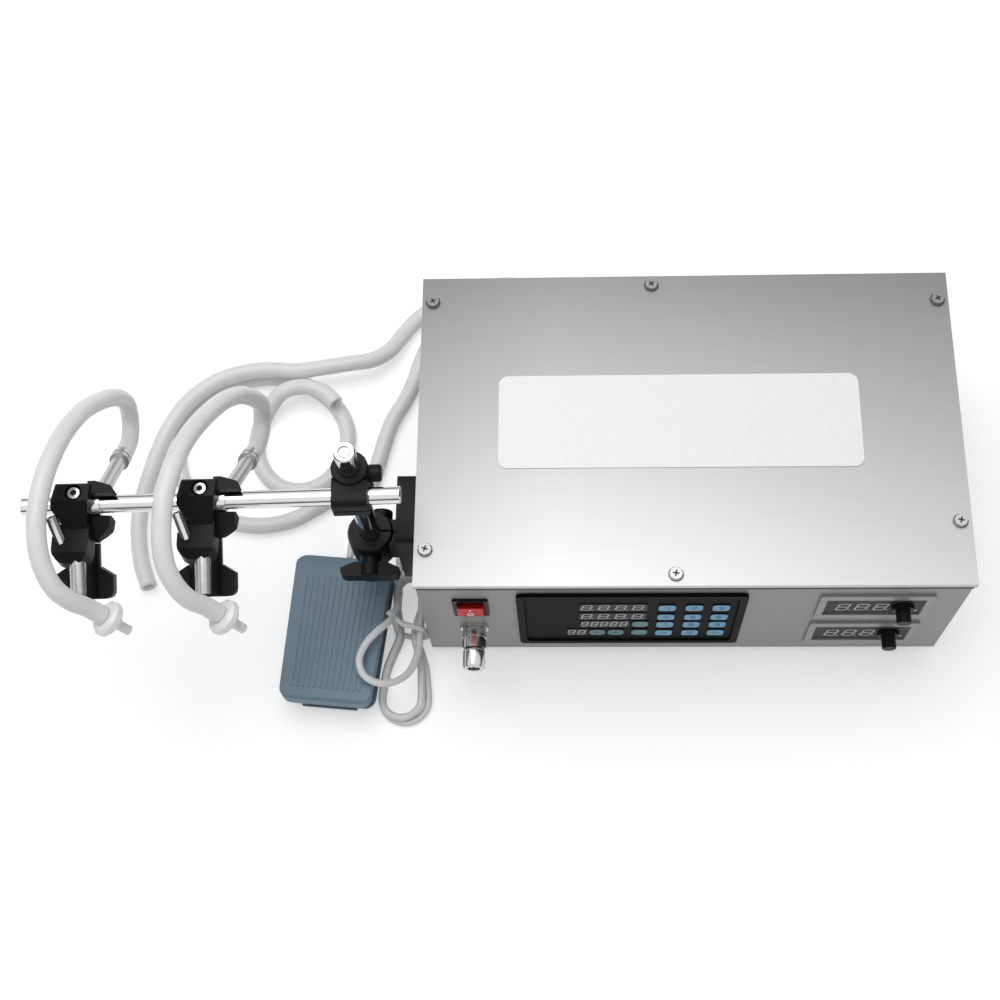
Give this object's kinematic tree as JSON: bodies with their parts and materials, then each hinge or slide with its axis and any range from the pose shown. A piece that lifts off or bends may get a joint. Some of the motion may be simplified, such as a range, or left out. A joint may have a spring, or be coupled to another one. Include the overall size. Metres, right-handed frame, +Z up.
{
  "type": "liquid filling machine",
  "caption": "Bench liquid filler: a sheet-steel pump housing with key panel and speed dials, a side stand with angled filling nozzles, coiled hoses and a foot pedal on a tied cable.",
  "frame": {"origin": "on the floor, at the middle of the machine's footprint measured without its hoses and cables", "axes": "+X to the right seen from the front, +Y to the rear, +Z up; the controls face -Y"},
  "size_m": [0.641, 0.3744, 0.2387],
  "materials": {
    "brushed_sheet": "brushed along X, satin",
    "foot_rubber": "matt",
    "black_plastic": "moulded, slight sheen",
    "red_plastic": "gloss",
    "plated_connector": "bright plating",
    "gloss_frame": "gloss",
    "blue_overlay": "satin film",
    "silver_plastic": "satin metallic paint",
    "pump_metal": "machined",
    "board_green": "satin",
    "polished_rod": "polished",
    "nozzle_steel": "ground",
    "clear_hose": "translucent white, smooth",
    "clear_fitting": "translucent, smooth",
    "pedal_plastic": "fine grain",
    "cable_jacket": "satin"
  },
  "bodies": {
    "machine": {"housing_shell": "brushed_sheet", "top_cover": "brushed_sheet", "foot_1": "foot_rubber", "foot_2": "foot_rubber", "foot_3": "foot_rubber", "foot_4": "foot_rubber", "switch_housing": "black_plastic", "pedal_socket": "plated_connector", "control_frame": "gloss_frame", "key_panel": "blue_overlay", "speed_meter_upper": "silver_plastic", "speed_meter_lower": "silver_plastic", "pump_left": "pump_metal", "pump_right": "pump_metal", "fan_frame": "black_plastic", "power_inlet": "black_plastic", "cable_gland": "black_plastic", "power_supply": "pump_metal", "control_board": "board_green", "side_bracket": "black_plastic", "mast_hub": "black_plastic", "supply_hose_1": "clear_hose", "supply_coil": "clear_hose", "supply_hose_2": "clear_hose", "pedal_base": "pedal_plastic", "pedal_spring": "polished_rod", "pedal_switch": "black_plastic", "pedal_lead": "cable_jacket", "machine_lead": "cable_jacket", "cable_hank": "cable_jacket"},
    "rocker": {"switch_rocker": "red_plastic"},
    "plug": {"connector_plug": "plated_connector"},
    "plug_ring": {"plug_ring": "plated_connector"},
    "speed_dial_upper": {"speed_knob_upper": "black_plastic"},
    "speed_dial_lower": {"speed_knob_lower": "black_plastic"},
    "coupling_left": {"pump_coupling_left": "red_plastic"},
    "coupling_right": {"pump_coupling_right": "red_plastic"},
    "fan": {"fan_rotor": "black_plastic"},
    "hub_knob": {"hub_knob": "black_plastic"},
    "mast": {"mast": "polished_rod"},
    "clamp": {"cross_clamp": "black_plastic"},
    "clamp_knob": {"cross_clamp_knob": "black_plastic"},
    "cross_rod": {"cross_rod": "polished_rod"},
    "bush_1": {"rod_bush_1": "polished_rod"},
    "station_1": {"nozzle_head_1": "black_plastic", "head_screw_1": "plated_connector", "head_pin_1": "polished_rod", "nozzle_1": "nozzle_steel", "nozzle_hose_1": "clear_hose", "hose_tip_1": "clear_fitting"},
    "wing_knob_1": {"wing_knob_1": "black_plastic"},
    "bush_2": {"rod_bush_2": "polished_rod"},
    "station_2": {"nozzle_head_2": "black_plastic", "head_screw_2": "plated_connector", "head_pin_2": "polished_rod", "nozzle_2": "nozzle_steel", "nozzle_hose_2": "clear_hose", "hose_tip_2": "clear_fitting"},
    "wing_knob_2": {"wing_knob_2": "black_plastic"},
    "treadle": {"pedal_treadle": "pedal_plastic"}
  },
  "joints": [
    {"name": "switch_rock", "type": "hinge", "parent": "machine", "child": "rocker", "pos_m": [-0.02254, -0.09932, 0.106], "axis": [1, 0, 0], "range_deg": [-16, 0]},
    {"name": "plug_pull", "type": "slide", "parent": "machine", "child": "plug", "axis": [0, -1, 0], "range_m": [0, 0.012]},
    {"name": "plug_ring_turn", "type": "hinge", "parent": "plug", "child": "plug_ring", "pos_m": [-0.02254, -0.11182, 0.061], "axis": [0, -1, 0], "range_deg": [0, 120]},
    {"name": "speed_upper_turn", "type": "hinge", "parent": "machine", "child": "speed_dial_upper", "pos_m": [0.27835, -0.11182, 0.106], "axis": [0, -1, 0], "range_deg": [0, 300]},
    {"name": "speed_lower_turn", "type": "hinge", "parent": "machine", "child": "speed_dial_lower", "pos_m": [0.27835, -0.11182, 0.048], "axis": [0, -1, 0], "range_deg": [0, 300]},
    {"name": "pump_left_spin", "type": "hinge", "parent": "machine", "child": "coupling_left", "pos_m": [-0.00154, 0.08318, 0.052], "axis": [0, 1, 0], "continuous": true},
    {"name": "pump_right_spin", "type": "hinge", "parent": "machine", "child": "coupling_right", "pos_m": [0.06846, 0.08318, 0.052], "axis": [0, 1, 0], "continuous": true},
    {"name": "fan_spin", "type": "hinge", "parent": "machine", "child": "fan", "pos_m": [0.25846, 0.12318, 0.084], "axis": [0, 1, 0], "continuous": true},
    {"name": "hub_knob_turn", "type": "hinge", "parent": "machine", "child": "hub_knob", "pos_m": [-0.09854, -0.06682, 0.078], "axis": [0, -1, 0], "range_deg": [-90, 180]},
    {"name": "mast_raise", "type": "slide", "parent": "machine", "child": "mast", "axis": [0, 0, 1], "range_m": [-0.012, 0.02]},
    {"name": "clamp_swivel", "type": "hinge", "parent": "mast", "child": "clamp", "pos_m": [-0.09854, -0.04222, 0.194], "axis": [0, 0, 1], "range_deg": [-50, 40]},
    {"name": "clamp_knob_turn", "type": "hinge", "parent": "clamp", "child": "clamp_knob", "pos_m": [-0.08454, -0.04183, 0.196], "axis": [0.9996, 0.0279, 0], "range_deg": [-90, 180]},
    {"name": "cross_rod_slide", "type": "slide", "parent": "clamp", "child": "cross_rod", "axis": [0.9996, 0.0279, 0], "range_m": [-0.02, 0.02]},
    {"name": "bush_slide_1", "type": "slide", "parent": "cross_rod", "child": "bush_1", "axis": [0.9996, 0.0279, 0], "range_m": [-0.008, 0.01]},
    {"name": "nozzle_swing_1", "type": "hinge", "parent": "bush_1", "child": "station_1", "pos_m": [-0.0981, -0.05781, 0.194], "axis": [0.9996, 0.0279, 0], "range_deg": [-10, 70]},
    {"name": "wing_knob_turn_1", "type": "hinge", "parent": "station_1", "child": "wing_knob_1", "pos_m": [-0.28539, -0.0789, 0.16312], "axis": [0.026, -0.9301, -0.3665], "range_deg": [-90, 180]},
    {"name": "bush_slide_2", "type": "slide", "parent": "cross_rod", "child": "bush_2", "axis": [0.9996, 0.0279, 0], "range_m": [-0.01, 0.015]},
    {"name": "nozzle_swing_2", "type": "hinge", "parent": "bush_2", "child": "station_2", "pos_m": [-0.0981, -0.05781, 0.194], "axis": [0.9996, 0.0279, 0], "range_deg": [-10, 70]},
    {"name": "wing_knob_turn_2", "type": "hinge", "parent": "station_2", "child": "wing_knob_2", "pos_m": [-0.20099, -0.07761, 0.16369], "axis": [0.0263, -0.9423, -0.3338], "range_deg": [-90, 180]},
    {"name": "pedal_press", "type": "hinge", "parent": "machine", "child": "treadle", "pos_m": [-0.12627, -0.047, 0.02], "axis": [0.9962, -0.0872, 0], "range_deg": [0, 6], "stiffness_Nm_per_rad": 5, "springref_deg": -171.89, "deforming": ["pedal_spring"]}
  ]
}
